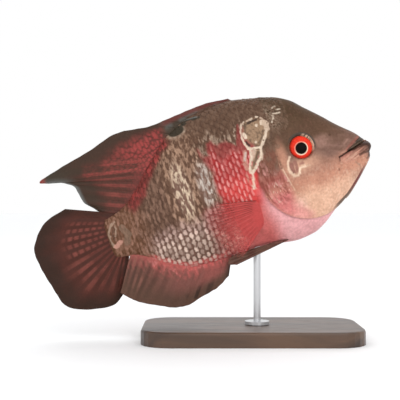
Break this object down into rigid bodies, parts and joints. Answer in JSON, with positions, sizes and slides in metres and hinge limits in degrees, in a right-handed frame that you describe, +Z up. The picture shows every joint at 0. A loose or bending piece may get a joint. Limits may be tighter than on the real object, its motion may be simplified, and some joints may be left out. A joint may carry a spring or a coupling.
{
  "type": "flowerhorn cichlid model",
  "caption": "Life-size still model of a flowerhorn cichlid, head up and fins spread, held over a flat base by one short rod.",
  "frame": {"origin": "centre of the model's plan, on the surface that the base rests on", "axes": "+X towards the fish's head, +Y towards its left side, +Z up"},
  "size_m": [0.2317, 0.084, 0.1669],
  "materials": {
    "skin": "moist scaled skin, semi-gloss",
    "fin": "rayed fin membrane, semi-gloss",
    "eye": "wet gloss",
    "stand_base": "dark oiled wood, satin",
    "stand_rod": "brushed"
  },
  "bodies": {
    "root": {"head": "skin", "torso": "skin", "tail_stalk": "skin", "gill_cover_right": "skin", "gill_cover_left": "skin", "dorsal_fin": "fin", "tail_fin": "fin", "anal_fin": "fin", "pectoral_fin_right": "fin", "pectoral_fin_left": "fin", "pelvic_fin_right": "fin", "pelvic_fin_left": "fin", "eye_right": "eye", "eye_left": "eye", "stand_base": "stand_base", "stand_rod": "stand_rod"}
  },
  "joints": []
}
